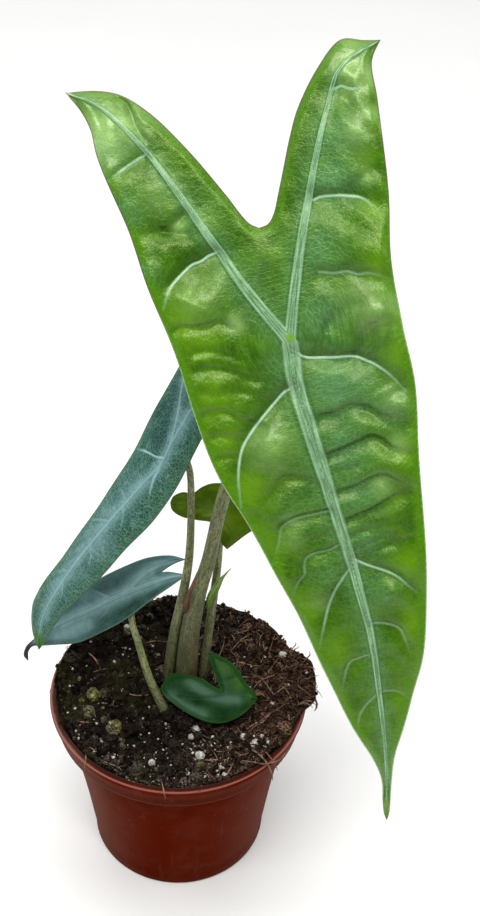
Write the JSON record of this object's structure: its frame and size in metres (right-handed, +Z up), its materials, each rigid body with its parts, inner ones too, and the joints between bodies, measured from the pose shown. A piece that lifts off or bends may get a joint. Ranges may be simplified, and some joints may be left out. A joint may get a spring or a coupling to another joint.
{
  "type": "potted silver crown alocasia",
  "caption": "Young arrow-leaved alocasia in a small round nursery pot of potting mix: one tall green blade, four smaller ones, bare stems.",
  "frame": {"origin": "middle of the pot's flat base, on the surface that it stands on", "axes": "+Z up along the pot's axis; -Y is the plant's front, where the large green blade faces; +X is to the right of someone facing that front"},
  "size_m": [0.0885, 0.067, 0.1968],
  "materials": {
    "potPlastic": "terracotta-coloured moulded plastic, satin, slightly dusty",
    "pottingMix": "damp peat and coir, dark brown, crumbly and fibrous",
    "greenBlade": "glossy bright green blade with silvery green ribs",
    "silverBlade": "matte blue-green blade with a silver net of veins",
    "lowBlade": "matte grey-teal blade with pale ribs",
    "backBlade": "satin olive-green blade",
    "groundBlade": "glossy dark green blade",
    "stemSkin": "satin khaki skin with dark speckles",
    "shootSkin": "satin pale green skin",
    "bractSkin": "dry papery reddish-brown skin",
    "perliteGrain": "chalky white foamed glass grain",
    "mossyPellet": "rough pellet covered with yellow-green algae"
  },
  "bodies": {
    "root": {"pot": "potPlastic", "soil": "pottingMix", "greenLeafBlade": "greenBlade", "silverLeafBlade": "silverBlade", "lowLeafBlade": "lowBlade", "backLeafBlade": "backBlade", "groundLeafBlade": "groundBlade", "greenLeafStem": "stemSkin", "silverLeafStem": "stemSkin", "lowLeafStem": "stemSkin", "backLeafStem": "stemSkin", "groundLeafStem": "stemSkin", "newShoot": "shootSkin", "dryBract": "bractSkin", "perliteFront": "perliteGrain", "perliteMiddle": "perliteGrain", "perliteLeft": "perliteGrain", "perliteRight": "perliteGrain", "pelletFront": "mossyPellet", "pelletMiddle": "mossyPellet", "pelletBack": "mossyPellet", "pelletRim": "mossyPellet"}
  },
  "joints": []
}
